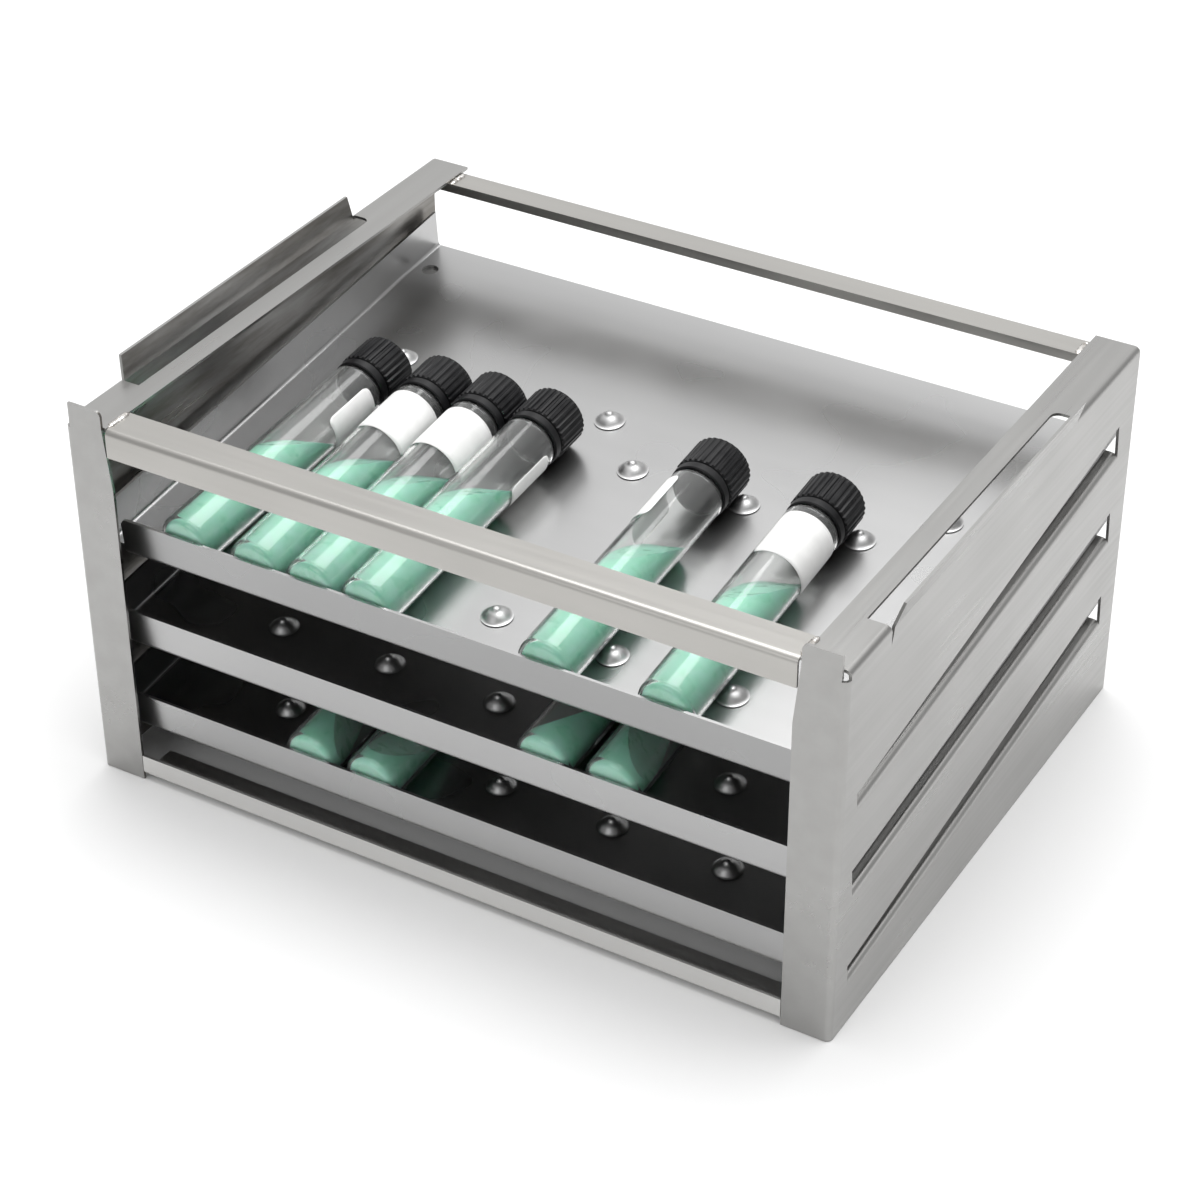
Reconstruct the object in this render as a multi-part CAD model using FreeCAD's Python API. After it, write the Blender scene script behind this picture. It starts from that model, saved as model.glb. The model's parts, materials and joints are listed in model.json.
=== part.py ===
import FreeCAD, Part
import math
import os

# Slant tube rack: a sheet-steel frame with three sloping trays that carry capped glass culture tubes.
# Millimetres. +Z up, the open front faces -Y, origin in the middle of the footprint at bench level.

# Sheet metal
SHEET = 1.0
BEND = 2.2
SEAM = 0.2
CUT_PAST = 1.0

# Frame
WIDTH = 279.4
DEPTH = 214.3
FRAME_TOP = 138.8
FLANGE = 16.0
SLOPE_DEG = 5.3

# Front posts
POST = 17.1
POST_EAR = 6.1
POST_NECK = 14.9
NECK_LONG = 22.8
POST_CORNER = 2.1
EAR_INSET = 2.0
RELIEF = 0.8

# Hand holds in the top flanges
GRIP_FRONT = 28.1
GRIP_REAR = 162.0
GRIP_WIDE = 8.3
GRIP_DEEP = 6.8
TAB_RISE = 6.5
TAB_BELOW = 1.2
TAB_LEAN = 2.2
TAB_SLANT = 4.0
GRIP_CORNER = 3.0

# Lanced ledges
TRAY_LEVELS = {"lower": 17.0, "middle": 51.0, "upper": 85.0}
LEDGE_FRONT = 10.3
LEDGE_FROM_REAR = 11.6
LEDGE_WIDE = 13.2
LEDGE_NARROW = {"lower": 7.9, "middle": 11.6, "upper": 6.2}

# Rails
TOP_RAIL = 12.9
TOP_RAIL_DROP = 10.2
REAR_RAIL_INSET = 1.8
REAR_RAIL = 11.2
REAR_RAIL_DROP = 9.6
LOW_RAIL_Z = 1.7
LOW_RAIL = 14.6
LOW_RAIL_RISE = 8.2
WELD_WIDE = 2.2
WELD_HIGH = 0.7
TACK_LONG = 4.0

# Trays
TRAY_GAP = 2.45
TRAY_FROM_REAR = 3.5
TRAY_FRONT = {"lower": 6.2, "middle": 6.2, "upper": 8.5}
TRAY_LIFT = 0.05
SIDE_LIP = 15.0
FRONT_LIP = 14.5
LIP_INSET = 9.0
LIP_CORNER = 2.5
DRAIN_HOLE = 6.2
DRAIN_FROM_SIDE = 7.5
DRAIN_FROM_REAR = 16.0

# Tube stops pressed into the tray floors; two tubes fit between two stops
STOP_ROOM = 2.4
STOP_ROWS = {35.0: 0.0, 121.0: 0.0, 142.0: 0.5}
STOP_WIDE = 9.6
STOP_HIGH = 3.7
STOP_TIP = 1.6

# Culture tubes
TUBE = 20.0
TUBE_WALL = 1.2
TUBE_LONG = 116.6
TUBE_HEEL = 3.6
NECK = 17.4
CAP_OVER = 1.3
CAP_LONG = 18.0
CAP_COLLAR = 4.0
CAP_CHAMFER = 0.8
CAP_TOP = 1.4
CAP_RIBS = 40
RIB_DEEP = 0.45
THREAD_GAP = 0.3
FILL_GAP = 0.1
FILL_FULL = 20.0
FILL_REACH = 62.0
REST_GAP = 0.1

# Where the tubes lie: tray, number of the stop beside it counted from the middle, side of that stop,
# and how far the bottom and the cap are shifted along x from half a cap's width beside it
TUBES = [
    ("upper", -2, -1, -7.55, -4.55),
    ("upper", -2, 1, -1.25, -0.65),
    ("upper", -1, -1, -0.55, 0.05),
    ("upper", -1, 1, -0.85, 0.75),
    ("upper", 1, -1, 1.25, 0.65),
    ("upper", 2, -1, 1.15, 0.25),
    ("middle", 1, -1, 1.35, 1.05),
    ("middle", 1, 1, 4.95, 4.35),
    ("lower", -1, -1, -3.95, -3.15),
    ("lower", -1, 1, -1.15, -0.45),
]

X = FreeCAD.Vector(1, 0, 0)
Y = FreeCAD.Vector(0, 1, 0)
Z = FreeCAD.Vector(0, 0, 1)
SLOPE = math.radians(SLOPE_DEG)
SQUARE = Z * math.cos(SLOPE) - Y * math.sin(SLOPE)
FRONT = -DEPTH / 2
REAR = DEPTH / 2
SIDE = WIDTH / 2
POST_TOP = FRAME_TOP + POST_EAR
NECK_FROM = FRAME_TOP - NECK_LONG
GRIP_CUT = FRAME_TOP - GRIP_DEEP
TAB_TOP = FRAME_TOP + TAB_RISE
TAB_KINK = FRAME_TOP - TAB_BELOW
LEDGE_REAR = DEPTH - LEDGE_FROM_REAR
TRAY_REAR = DEPTH - TRAY_FROM_REAR
CAP = TUBE + CAP_OVER
STOP_PITCH = TUBE * 2 + STOP_ROOM
DIAGONAL = 1 - math.sqrt(0.5)
TINY = 1e-6
NEARBY = 0.05


def vec(x, y, z):
    return FreeCAD.Vector(x, y, z)


def closed_face(points):
    return Part.Face(Part.makePolygon(points + [points[0]]))


def arc(start, middle, end):
    return Part.Arc(start, middle, end).toShape()


def line(start, end):
    return Part.LineSegment(start, end).toShape()


def lines(points):
    """Straight edges through the points; points that coincide give none."""
    return [line(start, end) for start, end in zip(points, points[1:]) if (end - start).Length > TINY]


def box(low, high):
    size = high - low
    return Part.makeBox(size.x, size.y, size.z, low)


def fused(shapes):
    return shapes[0].multiFuse(shapes[1:]).removeSplitter()


def folded_angle(corner, along_u, along_v, leg_u, leg_v, run):
    """Two legs of sheet that meet in a rounded fold; corner is where the outer faces would cross."""
    def at(u, v):
        return corner + along_u * u + along_v * v

    outer = BEND * DIAGONAL
    inner = BEND - (BEND - SHEET) * (1 - DIAGONAL)
    outside_fold = arc(at(BEND, 0), at(outer, outer), at(0, BEND))
    inside_fold = arc(at(SHEET, BEND), at(inner, inner), at(BEND, SHEET))
    leg_v_end = lines([at(0, BEND), at(0, leg_v), at(SHEET, leg_v), at(SHEET, BEND)])
    leg_u_end = lines([at(BEND, SHEET), at(leg_u, SHEET), at(leg_u, 0), at(BEND, 0)])
    edges = [outside_fold] + leg_v_end + [inside_fold] + leg_u_end
    return Part.Face(Part.Wire(edges)).extrude(run)


def round_upright_edges(solid, radius, picks, along):
    """Rounds the straight edges parallel to along that pass through the picked points."""
    edges = []
    for edge in solid.Edges:
        middle = edge.CenterOfMass
        direction = edge.Vertexes[-1].Point - edge.Vertexes[0].Point
        parallel = direction.Length > 0 and direction.cross(along).Length < TINY * direction.Length
        near = any(((middle - pick).cross(along)).Length < NEARBY for pick in picks)
        if parallel and near:
            edges.append(edge)
    return solid.makeFillet(radius, edges)


# Side panels

def post_plate():
    """The front flange of the right panel, with its narrow neck and the ear above the top flange."""
    edge = SIDE - POST
    neck = SIDE - POST_NECK
    outer = SIDE - BEND
    corners = [
        vec(edge, FRONT, 0),
        vec(edge, FRONT, NECK_FROM),
        vec(neck, FRONT, FRAME_TOP),
        vec(neck, FRONT, POST_TOP),
        vec(SIDE - EAR_INSET, FRONT, POST_TOP),
        vec(SIDE - EAR_INSET, FRONT, FRAME_TOP - BEND),
        vec(outer, FRONT, FRAME_TOP - BEND - RELIEF),
        vec(outer, FRONT, 0),
    ]
    plate = closed_face(corners).extrude(Y * SHEET)
    return round_upright_edges(plate, POST_CORNER, [corners[3]], Y)


def slot_line(level, from_front):
    """A point on the ledge's top plane, on the panel's outer face."""
    return vec(SIDE, FRONT + from_front, TRAY_LEVELS[level] + from_front * math.tan(SLOPE))


def ledge_slot(level):
    """The opening that the ledge was cut from: low at the front, higher at the rear."""
    start = slot_line(level, LEDGE_FRONT) - SQUARE * BEND
    end = slot_line(level, LEDGE_REAR) - SQUARE * BEND
    outline = closed_face([
        start + X * CUT_PAST,
        end + X * CUT_PAST,
        end + X * CUT_PAST + SQUARE * LEDGE_WIDE,
        start + X * CUT_PAST + SQUARE * LEDGE_NARROW[level],
    ])
    return outline.extrude(-X * (SHEET + CUT_PAST * 2))


def ledge(level):
    """The flap folded inward along the slot's lower edge, tapered as the slot is."""
    start = slot_line(level, LEDGE_FRONT)
    run = slot_line(level, LEDGE_REAR) - start
    flap = folded_angle(start, -X, -SQUARE, LEDGE_WIDE, BEND, run)
    spare = closed_face([
        start - X * LEDGE_NARROW[level] + SQUARE * CUT_PAST,
        start - X * LEDGE_WIDE * 2 + SQUARE * CUT_PAST,
        start - X * LEDGE_WIDE * 2 + run + SQUARE * CUT_PAST,
        start - X * LEDGE_WIDE + run + SQUARE * CUT_PAST,
    ])
    return flap.cut(spare.extrude(-SQUARE * (SHEET + CUT_PAST * 2)))


def grip_window():
    low = vec(SIDE - GRIP_WIDE, FRONT + GRIP_FRONT, GRIP_CUT)
    high = vec(SIDE + CUT_PAST, FRONT + GRIP_REAR, FRAME_TOP + CUT_PAST)
    block = box(low, high)
    return round_upright_edges(block, GRIP_CORNER, [vec(low.x, high.y, 0)], Z)


def grip_tab():
    """The strip of the window left standing and leaned outward."""
    def outline(y):
        return [
            vec(SIDE - SHEET, y, GRIP_CUT),
            vec(SIDE, y, GRIP_CUT),
            vec(SIDE, y, TAB_KINK),
            vec(SIDE + TAB_LEAN, y, TAB_TOP),
            vec(SIDE + TAB_LEAN - SHEET, y, TAB_TOP),
            vec(SIDE - SHEET, y, TAB_KINK),
        ]

    front = FRONT + GRIP_FRONT
    rear = FRONT + GRIP_REAR
    plate = closed_face(outline(front)).extrude(Y * (rear - front))
    waste = closed_face([
        vec(SIDE - FLANGE, front - SHEET, GRIP_CUT),
        vec(SIDE - FLANGE, front, GRIP_CUT),
        vec(SIDE - FLANGE, front + TAB_SLANT, TAB_TOP),
        vec(SIDE - FLANGE, front + TAB_SLANT, TAB_TOP + SHEET),
        vec(SIDE - FLANGE, front - SHEET, TAB_TOP + SHEET),
    ])
    return plate.cut(waste.extrude(X * FLANGE * 2))


def right_side_panel():
    """One blank: wall, top flange, front post, three lanced ledges and the lifting tab."""
    behind_fold = FRONT + BEND
    wall = folded_angle(vec(SIDE, behind_fold, FRAME_TOP), -X, -Z, FLANGE, FRAME_TOP, Y * (REAR - behind_fold))
    tongue = box(
        vec(SIDE - FLANGE, FRONT + SHEET + SEAM, FRAME_TOP - SHEET),
        vec(SIDE - BEND - RELIEF, behind_fold, FRAME_TOP),
    )
    fold_top = FRAME_TOP - BEND - RELIEF
    fold = folded_angle(vec(SIDE, FRONT, 0), -X, Y, BEND + SHEET, BEND + SHEET, Z * fold_top)
    blank = fused([wall, tongue, fold, post_plate()])
    blank = blank.cut(grip_window())
    for level in TRAY_LEVELS:
        blank = blank.cut(ledge_slot(level))
    return fused([blank, grip_tab()] + [ledge(level) for level in TRAY_LEVELS])


# Rails between the panels

def front_top_rail():
    half = SIDE - FLANGE - SEAM
    return folded_angle(vec(-half, FRONT, FRAME_TOP), Y, -Z, TOP_RAIL, TOP_RAIL_DROP, X * half * 2)


def rear_top_rail():
    half = SIDE - BEND - SEAM
    corner = vec(-half, REAR - REAR_RAIL_INSET, FRAME_TOP - SHEET)
    return folded_angle(corner, -Y, -Z, REAR_RAIL, REAR_RAIL_DROP, X * half * 2)


def front_bottom_rail():
    half = SIDE - POST - SEAM
    return folded_angle(vec(-half, FRONT, LOW_RAIL_Z), Y, Z, LOW_RAIL, LOW_RAIL_RISE, X * half * 2)


def rear_bottom_rail():
    half = SIDE - SHEET - SEAM
    return folded_angle(vec(-half, REAR, LOW_RAIL_Z), -Y, Z, LOW_RAIL, LOW_RAIL_RISE, X * half * 2)


def weld_bead(start, along, length, up):
    """A half-round bead that lies on a flat face."""
    across = along.cross(up)
    edges = [
        arc(start - across * WELD_WIDE / 2, start + up * WELD_HIGH, start + across * WELD_WIDE / 2),
        line(start + across * WELD_WIDE / 2, start - across * WELD_WIDE / 2),
    ]
    return Part.Face(Part.Wire(edges)).extrude(along * length)


def weld_beads():
    """Beads across the seams at the rail ends, all lying on faces of the frame."""
    beads = []
    top_seam = SIDE - FLANGE - SEAM / 2
    low_end = SIDE - POST - SEAM - WELD_WIDE / 2
    rear_rail_front = REAR - REAR_RAIL_INSET - REAR_RAIL
    for hand in (-1, 1):
        beads.append(weld_bead(vec(hand * top_seam, FRONT + BEND, FRAME_TOP), Y, TOP_RAIL - BEND, Z))
        low_start = vec(hand * low_end, FRONT + BEND, LOW_RAIL_Z + SHEET)
        beads.append(weld_bead(low_start, Y, TACK_LONG, Z))
        inside_edge = vec(hand * (SIDE - FLANGE - WELD_WIDE / 2), rear_rail_front, FRAME_TOP - SHEET)
        beads.append(weld_bead(inside_edge, Y, REAR_RAIL - BEND, Z))
    return Part.makeCompound(beads)


# Trays, in their own frame: x across, y up the slope from the lip's outer face, z square to the floor

def tray_stop(place):
    """A pressed cone with a blunt tip that keeps a tube from rolling; it stands on the floor."""
    return Part.makeCone(STOP_WIDE / 2, STOP_TIP / 2, STOP_HIGH, place + Z * SHEET)


def tray_stop_hollow(place):
    """The underside of the same pressing, which opens downward through the floor."""
    return Part.makeCone(STOP_WIDE / 2 - SHEET / 2, 0, STOP_HIGH - SHEET / 2, place)


def stop_places(level):
    """Rows of stops at a constant pitch; the last row stands half a pitch to the side."""
    reach = WIDTH / 2 - TRAY_GAP - STOP_PITCH / 2
    for from_front, offset in STOP_ROWS.items():
        y = (from_front - TRAY_FRONT[level]) / math.cos(SLOPE)
        count = int((reach - offset * STOP_PITCH) / STOP_PITCH)
        if offset:
            shifts = [side * (n + offset) for n in range(count + 1) for side in (-1, 1)]
        else:
            shifts = list(range(-count, count + 1))
        for shift in shifts:
            yield vec(shift * STOP_PITCH, y, 0)


def tray(level):
    half = SIDE - SHEET - TRAY_GAP
    length = (TRAY_REAR - TRAY_FRONT[level]) / math.cos(SLOPE)
    side_start = BEND + SHEET
    side_run = Y * (length - side_start)
    left = folded_angle(vec(-half, side_start, 0), X, Z, half, SIDE_LIP, side_run)
    right = folded_angle(vec(half, side_start, 0), -X, Z, half, SIDE_LIP, side_run)
    lip_half = half - LIP_INSET
    lip = folded_angle(vec(-lip_half, 0, 0), Y, Z, side_start + SHEET, FRONT_LIP, X * lip_half * 2)
    lip_ends = [vec(-lip_half, 0, FRONT_LIP), vec(lip_half, 0, FRONT_LIP)]
    lip = round_upright_edges(lip, LIP_CORNER, lip_ends, Y)
    holes = [tray_stop_hollow(place) for place in stop_places(level)]
    for hand in (-1, 1):
        drain = vec(hand * (half - DRAIN_FROM_SIDE), length - DRAIN_FROM_REAR, -CUT_PAST)
        holes.append(Part.makeCylinder(DRAIN_HOLE / 2, SHEET + CUT_PAST * 2, drain))
    blank = fused([left, right, lip]).cut(Part.makeCompound(holes))
    return on_tray(blank, level)


def tray_stops(level):
    """All the stops of one tray, hollow underneath."""
    stops = [tray_stop(place).cut(tray_stop_hollow(place)) for place in stop_places(level)]
    return on_tray(Part.makeCompound(stops), level)


def tray_origin(level):
    from_front = TRAY_FRONT[level]
    return vec(0, FRONT + from_front, TRAY_LEVELS[level] + from_front * math.tan(SLOPE)) + SQUARE * TRAY_LIFT


def on_tray(shape, level):
    """Moves a shape from the tray's own frame to its place on the ledges."""
    tilt = FreeCAD.Rotation(X, SLOPE_DEG)
    placed = shape.copy()
    placed.Placement = FreeCAD.Placement(tray_origin(level), tilt).multiply(shape.Placement)
    return placed


# Tubes, in their own frame: the axis is +Z, the round bottom at z = 0

def turned(points):
    """A solid turned about the Z axis; a point is (radius, z), and three points in a tuple are an arc."""
    edges = []
    last = None
    for entry in points:
        if isinstance(entry[0], tuple):
            middle, end = entry
            edges.append(arc(last, vec(middle[0], 0, middle[1]), vec(end[0], 0, end[1])))
            last = vec(end[0], 0, end[1])
            continue
        here = vec(entry[0], 0, entry[1])
        if last is not None:
            edges.append(line(last, here))
        last = here
    first = vec(points[0][0], 0, points[0][1])
    edges.append(line(last, first))
    return Part.Face(Part.Wire(edges)).revolve(vec(0, 0, 0), Z, 360)


def bottom_arc(radius, heel, height):
    """The rounded heel between a flat bottom at height and the tube's wall."""
    middle = (radius - heel * DIAGONAL, height + heel * DIAGONAL)
    return middle, (radius, height + heel)


def tube_glass():
    bore = TUBE / 2 - TUBE_WALL
    neck = NECK / 2
    neck_bore = neck - TUBE_WALL
    shoulder = TUBE_LONG - CAP_LONG - THREAD_GAP
    slope = TUBE / 2 - neck
    heel = TUBE_HEEL - TUBE_WALL
    outer = turned([
        (0, 0),
        (TUBE / 2 - TUBE_HEEL, 0),
        bottom_arc(TUBE / 2, TUBE_HEEL, 0),
        (TUBE / 2, shoulder - slope),
        (neck, shoulder),
        (neck, TUBE_LONG - CAP_TOP - REST_GAP),
        (0, TUBE_LONG - CAP_TOP - REST_GAP),
    ])
    inner = turned([
        (0, TUBE_WALL),
        (bore - heel, TUBE_WALL),
        (bore, TUBE_WALL + heel),
        (bore, shoulder - slope),
        (neck_bore, shoulder),
        (neck_bore, TUBE_LONG),
        (0, TUBE_LONG),
    ])
    return outer.cut(inner)


def tube_cap():
    """A screw cap: plain collar at the open end, fine ribs above it, chamfered closed top."""
    foot = TUBE_LONG - CAP_LONG
    radius = CAP / 2
    ribs = []
    for step in range(CAP_RIBS * 2):
        turn = math.pi * step / CAP_RIBS
        reach = radius - RIB_DEEP * (step % 2)
        ribs.append(vec(reach * math.cos(turn), reach * math.sin(turn), foot + CAP_COLLAR))
    ribbed = closed_face(ribs).extrude(Z * (CAP_LONG - CAP_COLLAR - CAP_CHAMFER))
    collar = Part.makeCylinder(radius, CAP_COLLAR, vec(0, 0, foot))
    crown = Part.makeCone(
        radius - RIB_DEEP, radius - RIB_DEEP - CAP_CHAMFER, CAP_CHAMFER, vec(0, 0, TUBE_LONG - CAP_CHAMFER)
    )
    bore = Part.makeCylinder(NECK / 2 + THREAD_GAP, CAP_LONG - CAP_TOP + SHEET, vec(0, 0, foot - SHEET))
    return fused([collar, ribbed, crown]).cut(bore)


def tube_medium():
    """Culture medium set on a slant: it fills the bottom and feathers out along the lower wall."""
    radius = TUBE / 2 - TUBE_WALL - FILL_GAP
    heel = TUBE_HEEL - TUBE_WALL
    floor = TUBE_WALL + FILL_GAP
    filled = turned([
        (0, floor),
        (radius - heel, floor),
        (radius, floor + heel),
        (radius, FILL_REACH),
        (0, FILL_REACH),
    ])
    air = closed_face([
        vec(-TUBE, radius, FILL_FULL),
        vec(-TUBE, -radius, FILL_REACH),
        vec(-TUBE, radius, FILL_REACH * 2),
    ])
    return filled.cut(air.extrude(X * TUBE * 2))


def tube_place(stop, side, bottom_shift, cap_shift):
    """Lays a tube on its tray: bottom against the front lip, cap up the slope, resting on the floor."""
    beside = stop * STOP_PITCH + side * CAP / 2
    bottom_x = beside + bottom_shift
    cap_x = beside + cap_shift
    start = vec(bottom_x, SHEET + REST_GAP, SHEET + TUBE / 2 + REST_GAP)
    rise = (CAP - TUBE) / 2
    reach = math.sqrt(TUBE_LONG ** 2 - (cap_x - bottom_x) ** 2)
    end = vec(cap_x, start.y + reach, start.z + rise * TUBE_LONG / (TUBE_LONG - CAP_LONG))
    along = (end - start).normalize()
    start = start + Y * TUBE_HEEL * math.sin(abs(along.x))
    side = along.cross(Z).normalize()
    up = side.cross(along)
    turn = FreeCAD.Rotation(side, up, along, "ZXY")
    return FreeCAD.Placement(start, turn)


def laid_tube(shape, level, *where):
    placed = shape.copy()
    placed.Placement = tube_place(*where)
    return on_tray(placed, level)


def write(name, shape):
    shape.exportStep(os.path.join("parts", name + ".step"))


def main():
    os.makedirs("parts", exist_ok=True)
    right = right_side_panel()
    write("right_side_panel", right)
    write("left_side_panel", right.mirror(vec(0, 0, 0), X))
    write("front_top_rail", front_top_rail())
    write("rear_top_rail", rear_top_rail())
    write("front_bottom_rail", front_bottom_rail())
    write("rear_bottom_rail", rear_bottom_rail())
    write("weld_beads", weld_beads())
    for level in TRAY_LEVELS:
        write(level + "_tray", tray(level))
        write(level + "_tray_stops", tray_stops(level))
    pieces = {"glass": tube_glass(), "cap": tube_cap(), "medium": tube_medium()}
    for number, place in enumerate(TUBES, start=1):
        for piece, shape in pieces.items():
            write("tube_%d_%s" % (number, piece), laid_tube(shape, *place))


main()
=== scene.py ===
import bpy
import json
import math
import random
from mathutils import Matrix, Vector


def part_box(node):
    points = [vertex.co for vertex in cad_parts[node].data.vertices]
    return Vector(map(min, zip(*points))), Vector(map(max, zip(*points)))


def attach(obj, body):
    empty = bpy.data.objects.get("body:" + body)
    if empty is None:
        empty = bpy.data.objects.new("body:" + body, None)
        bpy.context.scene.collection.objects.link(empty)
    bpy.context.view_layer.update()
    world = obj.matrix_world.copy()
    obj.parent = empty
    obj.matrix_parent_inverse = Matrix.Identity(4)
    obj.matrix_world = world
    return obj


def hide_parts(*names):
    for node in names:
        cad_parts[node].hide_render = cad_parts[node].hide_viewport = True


# The looks of a slant tube rack: brushed sheet steel, ten capped glass culture tubes with set
# medium, blank paper labels, pressed tube stops and weld beads. Metres, in the frame of the solids.

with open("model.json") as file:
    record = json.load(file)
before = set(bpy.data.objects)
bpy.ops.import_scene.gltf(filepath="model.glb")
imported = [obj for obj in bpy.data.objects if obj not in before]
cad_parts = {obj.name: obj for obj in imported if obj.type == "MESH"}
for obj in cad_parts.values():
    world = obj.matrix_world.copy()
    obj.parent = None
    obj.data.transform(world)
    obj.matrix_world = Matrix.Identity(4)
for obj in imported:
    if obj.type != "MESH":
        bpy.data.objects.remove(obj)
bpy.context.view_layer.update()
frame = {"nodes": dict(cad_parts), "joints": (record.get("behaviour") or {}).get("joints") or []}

MM = 0.001
UP = Vector((0, 0, 1))
joints = {joint["name"]: joint for joint in frame["joints"]}
nodes = frame["nodes"]

# Camera, worked out from the corners of the frame in the photograph
CAMERA_AT = Vector((0.4358, -0.7451, 0.6453))
CAMERA_AZIMUTH = 30.594
CAMERA_ELEVATION = 34.461
CAMERA_ROLL = -0.211
LENS_MM = 92.31
SENSOR_MM = 36.0

# Culture tubes
TUBE_RADIUS = 10.0 * MM
TUBE_WALL = 1.2 * MM
TUBE_LONG = 116.6 * MM
TUBE_SIDES = 72
TUBE_HEEL = 2.9 * MM
TUBE_FOOT = 0.9 * MM
MEDIUM_GAP = 0.06 * MM
PUNT_HIGH = 0.3 * MM
PUNT_RADIUS = 3.2 * MM
NECK_RADIUS = 8.7 * MM
MEDIUM_SIDES = 64
MENISCUS = 0.4 * MM
MENISCUS_FROM = 0.88
CAP_RADIUS = 10.65 * MM
CAP_LONG = 18.0 * MM
CAP_CLEAR = 0.3 * MM
CAP_TOP = 1.5 * MM
CAP_COLLAR = 3.6 * MM
CAP_CROWN = 0.9 * MM
CAP_GROOVE = 0.45 * MM
THREAD_ROOM = 0.35 * MM
CAP_RIBS = 30
RIB_DEEP = 0.55 * MM
LABEL_LONG = 22.5 * MM
LABEL_CORNER = 2.2 * MM
LABEL_GAP = 0.12 * MM
LABEL_BELOW_CAP = 5.2 * MM
LABEL_COLUMNS = 28
LABEL_ROWS = 12
PAPER = 0.08 * MM

# Tube stops
STOP_RADIUS = 5.4 * MM
STOP_HIGH = 3.7 * MM
STOP_SIDES = 40
STOP_PITCH = 42.4 * MM
# Each row: how far behind the front of the rack, and its shift in pitches
STOP_ROWS = ((35.0 * MM, 0.0), (121.0 * MM, 0.0), (142.0 * MM, 0.5))
STOP_SEAT = 0.02 * MM

# Sheet steel and the welds at the rail ends
SHEET = 1.0 * MM
BEND = 2.2 * MM
FLANGE = 16.0 * MM
WELD_HALF = 1.1 * MM
WELD_STEP = 0.45 * MM
FRONT_WELD = 10.7 * MM
TACK_WELD = 4.0 * MM
REAR_WELD = 9.0 * MM
WELD_SIDES = 10

# Stage: the floor's half width and its drop below the feet, and the lights, each with its place,
# aim, size and power
FLOOR_HALF = 12.0
FLOOR_DROP = 0.2 * MM
LIGHTS = {
    "overhead softbox": ((0.1, 0.25, 1.6), (0, 0, 0), (1.6, 1.2), 20),
    "front softbox": ((-0.2, -1.6, 0.9), (0, 0, 0.05), (1.0, 0.8), 4),
}

# Each tube: how its slant is turned about the axis, how high it fills the open and the far side,
# how blunt the slant's ends are, and the label's middle and half angle, or None. Angles are in
# degrees from straight up, positive towards the right of the rack.
TUBE_LOOKS = {
    1: (-15, 46 * MM, 74 * MM, 1.4, (98, 50)),
    2: (-16, 46 * MM, 76 * MM, 1.4, (22, 70)),
    3: (-14, 46 * MM, 76 * MM, 1.4, (25, 84)),
    4: (-16, 50 * MM, 79 * MM, 1.4, (125, 46)),
    5: (-14, 46 * MM, 78 * MM, 1.4, (-72, 56)),
    6: (-15, 46 * MM, 78 * MM, 1.4, (38, 84)),
    7: (-45, 5 * MM, 66 * MM, 0.55, None),
    8: (55, 4.5 * MM, 66 * MM, 0.55, None),
    9: (75, 4.5 * MM, 66 * MM, 0.55, None),
    10: (0, 5.5 * MM, 66 * MM, 0.5, None),
}


# Shader groups

def new_group(name, inputs, outputs):
    group = bpy.data.node_groups.new(name, "ShaderNodeTree")
    for label, kind, default in inputs:
        socket = group.interface.new_socket(name=label, in_out="INPUT", socket_type=kind)
        if default is not None:
            socket.default_value = default
    for label, kind in outputs:
        group.interface.new_socket(name=label, in_out="OUTPUT", socket_type=kind)
    start = group.nodes.new("NodeGroupInput")
    end = group.nodes.new("NodeGroupOutput")
    return group, start, end


def add(tree, kind, **settings):
    node = tree.nodes.new(kind)
    for key, value in settings.items():
        setattr(node, key, value)
    return node


def join(tree, source, target):
    tree.links.new(source, target)


def noise(tree, vector, scale, detail=2.0, roughness=0.5):
    node = add(tree, "ShaderNodeTexNoise")
    node.inputs["Scale"].default_value = scale
    node.inputs["Detail"].default_value = detail
    node.inputs["Roughness"].default_value = roughness
    join(tree, vector, node.inputs["Vector"])
    return node.outputs["Fac"]


def spread(tree, value, low, high, out_low=0.0, out_high=1.0):
    node = add(tree, "ShaderNodeMapRange")
    node.inputs["From Min"].default_value = low
    node.inputs["From Max"].default_value = high
    node.inputs["To Min"].default_value = out_low
    node.inputs["To Max"].default_value = out_high
    join(tree, value, node.inputs["Value"])
    return node.outputs["Result"]


def blend_colours(tree, amount, first, second):
    node = add(tree, "ShaderNodeMix", data_type="RGBA")
    join(tree, amount, node.inputs["Factor"])
    for socket, value in (("A", first), ("B", second)):
        target = [s for s in node.inputs if s.name == socket and s.type == "RGBA"][0]
        if hasattr(value, "links"):
            join(tree, value, target)
        else:
            target.default_value = value
    return [s for s in node.outputs if s.type == "RGBA"][0]


def maths(tree, operation, first, second):
    node = add(tree, "ShaderNodeMath", operation=operation)
    for socket, value in zip(node.inputs, (first, second)):
        if hasattr(value, "links"):
            join(tree, value, socket)
        else:
            socket.default_value = value
    return node.outputs[0]


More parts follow.
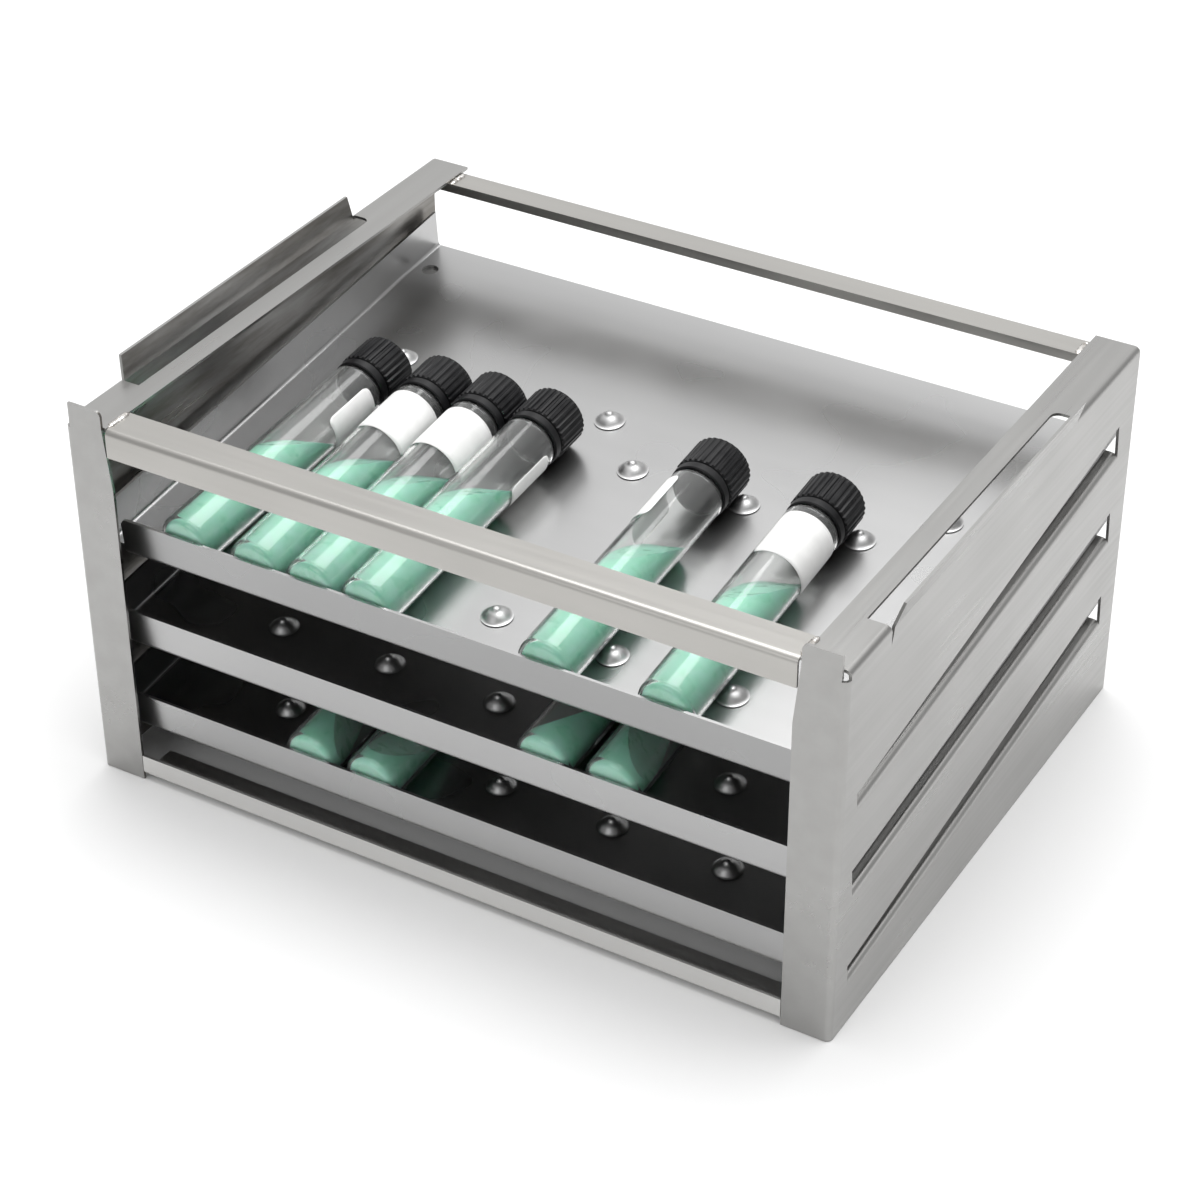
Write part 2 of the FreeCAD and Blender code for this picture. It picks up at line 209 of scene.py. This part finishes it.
def make_rolled_grain():
    """Fine lines left by rolling and brushing, stretched along the blank's long side."""
    group, start, end = new_group(
        "rolled grain",
        [("Stretch", "NodeSocketVector", (1.0, 1.0, 1.0)), ("Fineness", "NodeSocketFloat", 650.0)],
        [("Lines", "NodeSocketFloat"), ("Streaks", "NodeSocketFloat")],
    )
    place = add(group, "ShaderNodeTexCoord")
    stretched = add(group, "ShaderNodeVectorMath", operation="MULTIPLY")
    join(group, place.outputs["Object"], stretched.inputs[0])
    join(group, start.outputs["Stretch"], stretched.inputs[1])
    fine = add(group, "ShaderNodeTexNoise")
    fine.inputs["Detail"].default_value = 1.0
    join(group, stretched.outputs[0], fine.inputs["Vector"])
    join(group, start.outputs["Fineness"], fine.inputs["Scale"])
    coarse = noise(group, stretched.outputs[0], 160.0, 0.0)
    join(group, fine.outputs["Fac"], end.inputs["Lines"])
    join(group, coarse, end.inputs["Streaks"])
    return group


def make_handling_marks():
    """Soft cloudy smears and small darker stains from washing and handling."""
    group, start, end = new_group(
        "handling marks",
        [("Scale", "NodeSocketFloat", 22.0)],
        [("Clouds", "NodeSocketFloat"), ("Stains", "NodeSocketFloat")],
    )
    place = add(group, "ShaderNodeTexCoord")
    clouds = add(group, "ShaderNodeTexNoise")
    clouds.inputs["Detail"].default_value = 1.5
    join(group, place.outputs["Object"], clouds.inputs["Vector"])
    join(group, start.outputs["Scale"], clouds.inputs["Scale"])
    stains = noise(group, place.outputs["Object"], 130.0, 3.0)
    join(group, spread(group, clouds.outputs["Fac"], 0.35, 0.65), end.inputs["Clouds"])
    join(group, spread(group, stains, 0.62, 0.74), end.inputs["Stains"])
    return group


def make_moulded_skin():
    """The faint orange-peel and dust of moulded plastic, paper and gel."""
    group, start, end = new_group(
        "moulded skin",
        [("Scale", "NodeSocketFloat", 900.0)],
        [("Grain", "NodeSocketFloat"), ("Patches", "NodeSocketFloat")],
    )
    place = add(group, "ShaderNodeTexCoord")
    grain = add(group, "ShaderNodeTexNoise")
    grain.inputs["Detail"].default_value = 3.0
    join(group, place.outputs["Object"], grain.inputs["Vector"])
    join(group, start.outputs["Scale"], grain.inputs["Scale"])
    patches = noise(group, place.outputs["Object"], 180.0, 3.0)
    join(group, grain.outputs["Fac"], end.inputs["Grain"])
    join(group, spread(group, patches, 0.35, 0.7), end.inputs["Patches"])
    return group


rolled_grain = make_rolled_grain()
handling_marks = make_handling_marks()
moulded_skin = make_moulded_skin()


def placed_group(tree, group, **values):
    node = add(tree, "ShaderNodeGroup", node_tree=group)
    for key, value in values.items():
        node.inputs[key].default_value = value
    return node


def new_material(name):
    material = bpy.data.materials.new(name)
    material.use_nodes = True
    tree = material.node_tree
    shader = tree.nodes["Principled BSDF"]
    return material, tree, shader


def bump(tree, shader, height, strength, distance):
    node = add(tree, "ShaderNodeBump")
    node.inputs["Strength"].default_value = strength
    node.inputs["Distance"].default_value = distance
    join(tree, height, node.inputs["Height"])
    join(tree, node.outputs["Normal"], shader.inputs["Normal"])


def grey(value):
    return (value, value, value, 1)


def coat(tree, shader, skin, colours, roughness):
    """Colour and roughness that drift between two values over the patches of a skin."""
    colour = blend_colours(tree, skin.outputs["Patches"], *colours)
    join(tree, colour, shader.inputs["Base Color"])
    join(tree, spread(tree, skin.outputs["Patches"], 0, 1, *roughness), shader.inputs["Roughness"])


def sheet_steel(
    name, stretch, light, dark, roughness, lines, side=None, painted_shade_colour=None, shade_patchiness=0.0
):
    """Brushed stainless steel; stretch sets its grain and lines how deep it is.

    Faces that look towards side take a darker colour as painted shade, laid in patches or whole.
    """
    material, tree, shader = new_material(name)
    shader.inputs["Metallic"].default_value = 1.0
    grain = placed_group(tree, rolled_grain, Stretch=stretch)
    marks = placed_group(tree, handling_marks)
    streaked = blend_colours(tree, grain.outputs["Streaks"], dark, light)
    cloudy = maths(tree, "MULTIPLY", marks.outputs["Clouds"], 0.12)
    colour = blend_colours(tree, cloudy, streaked, tuple(v * 0.85 for v in dark[:3]) + (1.0,))
    # Painted shade: faces that look towards side are darkened, in patches or whole.
    if side:
        colour = blend_colours(tree, side_mask(tree, side, shade_patchiness), colour, painted_shade_colour)
    join(tree, colour, shader.inputs["Base Color"])
    rough = spread(tree, marks.outputs["Clouds"], 0.0, 1.0, roughness - 0.025, roughness + 0.03)
    if lines > 0:
        unevenness = spread(tree, grain.outputs["Lines"], 0.3, 0.7, -lines, lines)
        rough = maths(tree, "ADD", rough, unevenness)
        bump(tree, shader, grain.outputs["Lines"], lines, 0.00008)
    join(tree, rough, shader.inputs["Roughness"])
    return material


def side_mask(tree, side, shade_patchiness):
    """One on the faces that look towards side, where shade is painted, broken up into long patches
    if wanted.
    """
    facing = add(tree, "ShaderNodeVectorMath", operation="DOT_PRODUCT")
    join(tree, add(tree, "ShaderNodeNewGeometry").outputs["Normal"], facing.inputs[0])
    facing.inputs[1].default_value = side
    towards = spread(tree, facing.outputs["Value"], 0.3, 0.7)
    if not shade_patchiness:
        return towards
    place = add(tree, "ShaderNodeTexCoord")
    drawn = add(tree, "ShaderNodeVectorMath", operation="MULTIPLY")
    join(tree, place.outputs["Object"], drawn.inputs[0])
    drawn.inputs[1].default_value = (1.0, 0.22, 1.6)
    clouds = noise(tree, drawn.outputs[0], 75.0, 5.0, 0.6)
    patches = spread(tree, clouds, 0.34, 0.64, 1.0 - shade_patchiness, 1.0)
    return maths(tree, "MULTIPLY", patches, towards)


def weld_metal():
    material, tree, shader = new_material("weld metal")
    shader.inputs["Metallic"].default_value = 1.0
    marks = placed_group(tree, handling_marks, Scale=420.0)
    dark, light = (0.42, 0.39, 0.36, 1), (0.85, 0.83, 0.80, 1)
    colour = blend_colours(tree, marks.outputs["Clouds"], dark, light)
    join(tree, colour, shader.inputs["Base Color"])
    join(tree, spread(tree, marks.outputs["Stains"], 0, 1, 0.18, 0.4), shader.inputs["Roughness"])
    bump(tree, shader, marks.outputs["Clouds"], 0.5, 0.0003)
    return material


def clear_glass():
    material, tree, shader = new_material("tube glass")
    shader.inputs["Transmission Weight"].default_value = 0.96
    shader.inputs["IOR"].default_value = 1.47
    skin = placed_group(tree, moulded_skin, Scale=60.0)
    clean, dusty = (0.985, 0.99, 0.985, 1), (0.965, 0.98, 0.97, 1)
    coat(tree, shader, skin, (clean, dusty), (0.04, 0.09))
    return material


def cap_plastic():
    material, tree, shader = new_material("cap plastic")
    skin = placed_group(tree, moulded_skin, Scale=1600.0)
    dark, light = (0.008, 0.008, 0.009, 1), (0.016, 0.016, 0.017, 1)
    coat(tree, shader, skin, (dark, light), (0.30, 0.42))
    shader.inputs["Specular IOR Level"].default_value = 0.24
    bump(tree, shader, skin.outputs["Grain"], 0.15, 0.0001)
    return material


def culture_medium():
    material, tree, shader = new_material("culture medium")
    skin = placed_group(tree, moulded_skin, Scale=300.0)
    deep, pale = (0.33, 0.90, 0.64, 1), (0.45, 0.97, 0.77, 1)
    coat(tree, shader, skin, (deep, pale), (0.25, 0.4))
    shader.inputs["Subsurface Weight"].default_value = 0.35
    shader.inputs["Subsurface Radius"].default_value = (0.6, 1.0, 0.8)
    shader.inputs["Subsurface Scale"].default_value = 0.003
    bump(tree, shader, skin.outputs["Grain"], 0.1, 0.0002)
    return material


def label_paper():
    material, tree, shader = new_material("label paper")
    skin = placed_group(tree, moulded_skin, Scale=2200.0)
    shaded, white = (0.86, 0.86, 0.85, 1), (0.93, 0.93, 0.92, 1)
    coat(tree, shader, skin, (shaded, white), (0.42, 0.55))
    bump(tree, shader, skin.outputs["Grain"], 0.2, 0.00005)
    return material


ALONG_X = (0.02, 1.0, 1.0)
ALONG_Y = (1.0, 0.02, 1.0)
RIGHTWARD = (1.0, 0.0, 0.0)
FORWARD = (0.0, -1.0, 0.0)
PANEL_LIGHT = (0.40, 0.398, 0.39, 1)
PANEL_DARK = (0.362, 0.358, 0.35, 1)
# Painted shade, with a brownish painted reflection, for the left panel's inner face
PANEL_PAINTED_SHADE = (0.18, 0.17, 0.156, 1)
RAIL_LIGHT = (0.475, 0.465, 0.444, 1)
RAIL_DARK = (0.43, 0.42, 0.40, 1)
# The front bottom rail's steel is a much brighter copy of the rail steel: a painted reflection of
# the bright floor in front of it.
FOOT_RAIL_LIGHT = (0.74, 0.735, 0.72, 1)
FOOT_RAIL_DARK = (0.68, 0.675, 0.66, 1)
TRAY_LIGHT = grey(0.495)
TRAY_DARK = grey(0.477)

panel_steel = sheet_steel("panel steel", ALONG_Y, PANEL_LIGHT, PANEL_DARK, 0.32, 0.04)
# The left panel's inner face, turned towards the trays, takes painted shade in long patches.
painted_shade_panel_steel = sheet_steel(
    "painted shade panel steel", ALONG_Y, PANEL_LIGHT, PANEL_DARK, 0.32, 0.04, RIGHTWARD, PANEL_PAINTED_SHADE, 1.0
)
rail_steel = sheet_steel("rail steel", ALONG_X, RAIL_LIGHT, RAIL_DARK, 0.34, 0.04)
# Brighter copy of the rail steel, as painted reflection.
lit_foot_rail_steel = sheet_steel(
    "painted reflection foot rail steel", ALONG_X, FOOT_RAIL_LIGHT, FOOT_RAIL_DARK, 0.34, 0.04
)
tray_steel = sheet_steel("tray steel", ALONG_X, TRAY_LIGHT, TRAY_DARK, 0.29, 0)
# The upper tray's forward-facing lips are darkened to grey 0.36: painted shade where the front top
# rail shades them.
shaded_lip_tray_steel = sheet_steel(
    "painted shade lip tray steel", ALONG_X, TRAY_LIGHT, TRAY_DARK, 0.29, 0, FORWARD, grey(0.36)
)
stop_steel = sheet_steel("stop steel", ALONG_X, grey(0.56), grey(0.52), 0.42, 0)
# A darker copy of the stop steel for the middle and lower trays: painted shade under the tray
# above.
shaded_stop_steel = sheet_steel("painted shade stop steel", ALONG_X, grey(0.34), grey(0.3), 0.36, 0)
weld = weld_metal()
glass = clear_glass()
black_plastic = cap_plastic()
medium = culture_medium()
paper = label_paper()


# Mesh helpers

def new_object(name, data):
    thing = bpy.data.objects.new(name, data)
    bpy.context.scene.collection.objects.link(thing)
    return thing


def new_piece(name, points, faces, material, body):
    mesh = bpy.data.meshes.new(name)
    mesh.from_pydata([tuple(point) for point in points], [], faces)
    mesh.update()
    mesh.polygons.foreach_set("use_smooth", [True] * len(mesh.polygons))
    mesh.materials.append(material)
    piece = new_object(name, mesh)
    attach(piece, body)
    return piece


def sharpen(piece, degrees):
    """Keeps edges sharper than the angle crisp and shades the rest smooth."""
    piece.data.set_sharp_from_angle(angle=math.radians(degrees))


def arc_points(centre, radius, start, end, steps):
    """Points of (radius, height) along an arc, in degrees, both ends included."""
    points = []
    for step in range(steps + 1):
        turn = math.radians(start + (end - start) * step / steps)
        points.append((centre[0] + radius * math.cos(turn), centre[1] + radius * math.sin(turn)))
    return points


def lathe(profile, segments, reach=None):
    """Points and faces turned about the z axis; reach may change a ring's radius by angle."""
    points = []
    faces = []
    rings = []
    for index, (radius, height) in enumerate(profile):
        if radius < 1e-7:
            rings.append([len(points)])
            points.append(Vector((0, 0, height)))
            continue
        ring = []
        for step in range(segments):
            turn = 2 * math.pi * step / segments
            here = radius if reach is None else reach(index, radius, turn)
            ring.append(len(points))
            points.append(Vector((here * math.cos(turn), here * math.sin(turn), height)))
        rings.append(ring)
    for first, second in zip(rings, rings[1:]):
        for step in range(segments):
            after = (step + 1) % segments
            if len(first) == 1:
                faces.append((first[0], second[after], second[step]))
            elif len(second) == 1:
                faces.append((first[step], first[after], second[0]))
            else:
                faces.append((first[step], first[after], second[after], second[step]))
    return points, faces


def tube_frame(number):
    """The matrix that puts a tube drawn along +z, with +x straight up, where its solid lies."""
    turn_joint = joints["cap_%d_turn" % number]
    axis = Vector(turn_joint["axis"]).normalized()
    high = (UP - axis * UP.dot(axis)).normalized()
    side = axis.cross(high)
    matrix = Matrix((high, side, axis)).transposed().to_4x4()
    matrix.translation = Vector(turn_joint["pos_m"])
    return matrix


# Tubes

def heel(radius, height, bend):
    """The rounded corner between a tube's bottom and its wall."""
    return arc_points((radius - bend, height + bend), bend, -90, 0, 8)


def tube_glass(number, place):
    bore = TUBE_RADIUS - TUBE_WALL
    neck_bore = NECK_RADIUS - TUBE_WALL
    shoulder = TUBE_LONG - CAP_LONG - CAP_CLEAR
    fall = TUBE_RADIUS - NECK_RADIUS
    mouth = TUBE_LONG - CAP_TOP
    profile = [(0, PUNT_HIGH), (PUNT_RADIUS, PUNT_HIGH * 0.35)] + heel(TUBE_RADIUS, 0, TUBE_HEEL)
    profile += [(TUBE_RADIUS, shoulder - fall), (NECK_RADIUS, shoulder), (NECK_RADIUS, mouth)]
    profile += [(neck_bore, mouth), (neck_bore, shoulder), (bore, shoulder - fall)]
    profile += list(reversed(heel(bore, TUBE_FOOT, TUBE_HEEL - TUBE_WALL)))
    profile += [(0, TUBE_FOOT)]
    points, faces = lathe(profile, TUBE_SIDES)
    points = [place @ point for point in points]
    name = "tube_%d_blown_glass" % number
    piece = new_piece(name, points, faces, glass, "culture_tube_%d" % number)
    sharpen(piece, 40)
    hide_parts("tube_%d_glass" % number)


def tube_cap(number, place, spin):
    foot = TUBE_LONG - CAP_LONG
    collar = foot + CAP_COLLAR
    bore = NECK_RADIUS + THREAD_ROOM
    base = CAP_RADIUS - RIB_DEEP
    collar_radius = base + 0.1 * MM
    groove_radius = base - CAP_GROOVE
    profile = [(0, TUBE_LONG - CAP_TOP), (bore, TUBE_LONG - CAP_TOP), (bore, foot)]
    profile += [(base - 0.25 * MM, foot), (collar_radius, foot + 0.35 * MM)]
    profile += [(collar_radius, collar - 0.7 * MM), (groove_radius, collar - 0.4 * MM)]
    profile += [(groove_radius, collar), (base, collar + 0.15 * MM)]
    ribs_start = len(profile)
    profile += [(CAP_RADIUS, collar + 0.5 * MM), (CAP_RADIUS, TUBE_LONG - 1.1 * MM)]
    ribs_end = len(profile)
    profile += [(base - 0.15 * MM, TUBE_LONG - 0.45 * MM), (base - CAP_CROWN, TUBE_LONG)]
    profile += [(base - CAP_CROWN * 2, TUBE_LONG - 0.1 * MM), (0, TUBE_LONG - 0.12 * MM)]

    def ribbed(index, radius, turn):
        if not ribs_start <= index < ribs_end:
            return radius
        wave = math.cos(CAP_RIBS * (turn + spin))
        share = min(1.0, max(0.0, 0.75 + wave * 1.6))
        return base + (radius - base) * share

    points, faces = lathe(profile, CAP_RIBS * 8, ribbed)
    points = [place @ point for point in points]
    name = "tube_%d_ribbed_cap" % number
    piece = new_piece(name, points, faces, black_plastic, "screw_cap_%d" % number)
    sharpen(piece, 32)
    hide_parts("tube_%d_cap" % number)


def tube_medium(number, place, lean, full, reach, blunt):
    """A set slant: the bore is filled up to the slanted surface, with a meniscus at the wall."""
    radius = TUBE_RADIUS - TUBE_WALL - MEDIUM_GAP
    bend = TUBE_HEEL - TUBE_WALL
    floor = TUBE_FOOT + MEDIUM_GAP
    around = [2 * math.pi * step / MEDIUM_SIDES for step in range(MEDIUM_SIDES)]
    wall_profile = [(radius * 0.35, floor)] + heel(radius, floor, bend)[:-1]
    points = [Vector((0, 0, floor))]
    faces = []
    rings = []
    for ring_radius, height in wall_profile:
        rings.append([len(points) + step for step in range(MEDIUM_SIDES)])
        for t in around:
            points.append(Vector((ring_radius * math.cos(t), ring_radius * math.sin(t), height)))

    def surface(x):
        share = (x / radius + 1) / 2
        return reach + (full - reach) * share ** blunt

    low = floor + bend
    for step_up in range(1, 9):
        ring = []
        for t in around:
            top = surface(radius * math.cos(t)) + MENISCUS
            ring.append(len(points))
            height = low + (top - low) * step_up / 8
            points.append(Vector((radius * math.cos(t), radius * math.sin(t), height)))
        rings.append(ring)
    for share in (0.97, 0.9, 0.75, 0.5, 0.25):
        ring = []
        for t in around:
            x = radius * share * math.cos(t)
            y = radius * share * math.sin(t)
            edge = MENISCUS * max(0.0, (share - MENISCUS_FROM) / (1 - MENISCUS_FROM)) ** 2
            ring.append(len(points))
            points.append(Vector((x, y, surface(x) + edge)))
        rings.append(ring)
    centre = len(points)
    points.append(Vector((0, 0, surface(0))))
    for step in range(MEDIUM_SIDES):
        after = (step + 1) % MEDIUM_SIDES
        faces.append((0, rings[0][after], rings[0][step]))
        faces.append((rings[-1][step], rings[-1][after], centre))
        for first, second in zip(rings, rings[1:]):
            faces.append((first[step], first[after], second[after], second[step]))
    spin = Matrix.Rotation(math.radians(lean), 4, "Z")
    points = [place @ (spin @ point) for point in points]
    name = "tube_%d_set_slant" % number
    piece = new_piece(name, points, faces, medium, "culture_tube_%d" % number)
    sharpen(piece, 50)
    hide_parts("tube_%d_medium" % number)


def tube_label(number, place, middle, half_angle):
    """A blank label with rounded corners, wrapped round the tube just below the shoulder."""
    radius = TUBE_RADIUS + LABEL_GAP
    top = TUBE_LONG - CAP_LONG - LABEL_BELOW_CAP
    half_width = math.radians(half_angle) * radius
    points = []
    faces = []
    for column in range(LABEL_COLUMNS + 1):
        across = -half_width + 2 * half_width * column / LABEL_COLUMNS
        into = max(0.0, abs(across) - (half_width - LABEL_CORNER))
        trim = LABEL_CORNER - math.sqrt(max(0.0, LABEL_CORNER ** 2 - into ** 2))
        turn = math.radians(middle) + across / radius
        low = top - LABEL_LONG + trim
        high = top - trim
        for row in range(LABEL_ROWS + 1):
            height = low + (high - low) * row / LABEL_ROWS
            points.append(Vector((radius * math.cos(turn), radius * math.sin(turn), height)))
    for column in range(LABEL_COLUMNS):
        for row in range(LABEL_ROWS):
            corner = column * (LABEL_ROWS + 1) + row
            faces.append((corner, corner + LABEL_ROWS + 1, corner + LABEL_ROWS + 2, corner + 1))
    points = [place @ point for point in points]
    name = "tube_%d_blank_label" % number
    piece = new_piece(name, points, faces, paper, "culture_tube_%d" % number)
    thick = piece.modifiers.new("paper thickness", "SOLIDIFY")
    thick.thickness = PAPER
    thick.offset = 1.0


# Tray stops

def stop_profile():
    """Hollow underside, flared foot, domed side and small blunt nipple, as (radius, height)."""
    foot = STOP_RADIUS
    profile = [(0, STOP_HIGH - 0.9 * MM), (foot * 0.3, STOP_HIGH - 1.3 * MM), (foot * 0.54, 0.0)]
    profile += [(foot, 0.0), (foot * 0.93, 0.08 * MM)]
    profile += [(foot * 0.84, 0.36 * MM), (foot * 0.75, 0.92 * MM)]
    profile += [(foot * 0.65, 1.52 * MM), (foot * 0.53, 2.06 * MM), (foot * 0.41, 2.46 * MM)]
    profile += [(foot * 0.31, 2.72 * MM), (foot * 0.25, 3.05 * MM), (foot * 0.2, 3.42 * MM)]
    profile += [(foot * 0.11, STOP_HIGH - 0.04 * MM), (0, STOP_HIGH)]
    return profile


def stop_places(reach):
    for from_front, offset in STOP_ROWS:
        count = int((reach - offset * STOP_PITCH) / STOP_PITCH)
        if offset:
            shifts = [side * (n + offset) for n in range(count + 1) for side in (-1, 1)]
        else:
            shifts = range(-count, count + 1)
        for shift in shifts:
            yield shift * STOP_PITCH, from_front


def tray_stops(level):
    """The pressed stops of one tray, each flowing out of its floor."""
    low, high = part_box(level + "_tray")
    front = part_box("left_side_panel")[0].y
    uphill = Vector(joints[level + "_tray_slide"]["axis"]).normalized()
    square = Vector((1, 0, 0)).cross(uphill)
    origin = Vector((0, low.y, low.z))
    slope = uphill.z / uphill.y
    dome, dome_faces = lathe(stop_profile(), STOP_SIDES)
    points = []
    faces = []
    reach = (high.x - low.x) / 2 - STOP_PITCH / 2
    for across, from_front in stop_places(reach):
        along = front + from_front - origin.y
        foot = origin + Vector((across, along, along * slope)) + square * (SHEET + STOP_SEAT)
        shift = len(points)
        for point in dome:
            points.append(foot + Vector((1, 0, 0)) * point.x + uphill * point.y + square * point.z)
        for face in dome_faces:
            faces.append(tuple(shift + corner for corner in face))
    # Stops under another tray take the darker steel, as painted shade.
    steel = stop_steel if level == "upper" else shaded_stop_steel
    name = level + "_pressed_stops"
    piece = new_piece(name, points, faces, steel, level + "_shelf")
    sharpen(piece, 50)
    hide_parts(level + "_tray_stops")


# Welds

def weld_lumps():
    """The beads at the rail ends, uneven as laid by hand, in place of the solid's plain beads."""
    dice = random.Random(19)
    low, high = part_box("front_top_rail")
    panel_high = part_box("right_side_panel")[1]
    rear_low, rear_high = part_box("rear_top_rail")
    foot_low, foot_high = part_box("front_bottom_rail")
    seam = high.x + 0.1 * MM
    inset = foot_high.x - WELD_HALF
    rear_seam = panel_high.x - BEND - FLANGE - WELD_HALF
    lines = []
    for hand in (-1, 1):
        lines.append((Vector((hand * seam, low.y + BEND, high.z)), FRONT_WELD))
        lines.append((Vector((hand * inset, foot_low.y + BEND, foot_low.z + SHEET)), TACK_WELD))
        lines.append((Vector((hand * rear_seam, rear_low.y, rear_high.z)), REAR_WELD))
    points = []
    faces = []
    for start, length in lines:
        steps = int(length / WELD_STEP)
        shift = len(points)
        for step in range(steps + 1):
            share = step / steps
            swell = math.sin(math.pi * min(1.0, share * 6, (1 - share) * 6) / 2)
            ripple = 1.0 + 0.16 * math.sin(step * 2.3) + dice.uniform(-0.1, 0.1)
            width = (0.25 + 0.85 * swell * ripple) * MM
            tall = (0.05 + 0.66 * swell * ripple) * MM
            sway = dice.uniform(-0.12, 0.12) * MM
            for turn_step in range(WELD_SIDES + 1):
                turn = math.pi * turn_step / WELD_SIDES
                across = sway + width * math.cos(turn)
                points.append(start + Vector((across, length * share, tall * math.sin(turn))))
        for step in range(steps):
            for turn_step in range(WELD_SIDES):
                corner = shift + step * (WELD_SIDES + 1) + turn_step
                faces.append((corner, corner + 1, corner + WELD_SIDES + 2, corner + WELD_SIDES + 1))
    piece = new_piece("hand_laid_welds", points, faces, weld, "frame")
    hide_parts("weld_beads")


def dress_tubes():
    dice = random.Random(7)
    for number, (lean, full, reach, blunt, label) in TUBE_LOOKS.items():
        place = tube_frame(number)
        tube_glass(number, place)
        tube_cap(number, place, dice.uniform(0, math.pi))
        tube_medium(number, place, lean, full, reach, blunt)
        if label:
            tube_label(number, place, *label)


def dress_steel():
    finishes = {
        "left_side_panel": painted_shade_panel_steel,
        "right_side_panel": panel_steel,
        "front_top_rail": rail_steel,
        "rear_top_rail": rail_steel,
        "front_bottom_rail": lit_foot_rail_steel,
        "rear_bottom_rail": rail_steel,
        # the upper tray's lips carry painted shade
        "upper_tray": shaded_lip_tray_steel,
        "middle_tray": tray_steel,
        "lower_tray": tray_steel,
    }
    for name, material in finishes.items():
        mesh = nodes[name].data
        mesh.materials.clear()
        mesh.materials.append(material)


# Stage, lights and camera

def make_floor():
    material, _, shader = new_material("pale floor")
    shader.inputs["Base Color"].default_value = grey(0.88)
    shader.inputs["Roughness"].default_value = 0.9
    signs = ((-1, -1), (1, -1), (1, 1), (-1, 1))
    corners = [(x * FLOOR_HALF, y * FLOOR_HALF, 0) for x, y in signs]
    mesh = bpy.data.meshes.new("floor")
    mesh.from_pydata(corners, [], [(0, 1, 2, 3)])
    mesh.materials.append(material)
    floor = new_object("floor", mesh)
    floor.location.z = -FLOOR_DROP


def area_light(name, at, aim, size, power):
    data = bpy.data.lights.new(name, "AREA")
    data.shape = "RECTANGLE"
    data.size = size[0]
    data.size_y = size[1]
    data.energy = power
    light = new_object(name, data)
    light.location = at
    light.rotation_euler = (Vector(aim) - Vector(at)).to_track_quat("-Z", "Y").to_euler()


def make_lights():
    world = bpy.data.worlds.new("studio")
    bpy.context.scene.world = world
    world.use_nodes = True
    tree = world.node_tree
    background = tree.nodes["Background"]
    ray = add(tree, "ShaderNodeSeparateXYZ")
    join(tree, add(tree, "ShaderNodeTexCoord").outputs["Generated"], ray.inputs[0])
    sideways = spread(tree, ray.outputs["X"], -0.1, 0.45, 1.0, 0.55)
    overhead = spread(tree, ray.outputs["Z"], 0.55, 0.85, 0.0, 1.0)
    ahead = spread(tree, ray.outputs["Y"], -0.5, 0.2, 0.4, 1.0)
    walls = maths(tree, "MULTIPLY", sideways, ahead)
    room = blend_colours(tree, overhead, walls, grey(1.0))
    join(tree, room, background.inputs["Color"])
    background.inputs["Strength"].default_value = 1.0
    for name, settings in LIGHTS.items():
        area_light(name, *settings)


def make_camera():
    data = bpy.data.cameras.new("camera")
    data.sensor_fit = "HORIZONTAL"
    data.sensor_width = SENSOR_MM
    data.lens = LENS_MM
    camera = new_object("camera", data)
    azimuth = math.radians(CAMERA_AZIMUTH)
    elevation = math.radians(CAMERA_ELEVATION)
    turn = Matrix.Rotation(azimuth, 4, "Z") @ Matrix.Rotation(math.pi / 2 - elevation, 4, "X")
    turn = turn @ Matrix.Rotation(math.radians(CAMERA_ROLL), 4, "Z")
    turn.translation = CAMERA_AT
    camera.matrix_world = turn
    bpy.context.scene.camera = camera


make_camera()
make_floor()
make_lights()
dress_steel()
dress_tubes()
weld_lumps()
for tray_level in ("upper", "middle", "lower"):
    tray_stops(tray_level)
bpy.context.scene.view_settings.view_transform = "Standard"
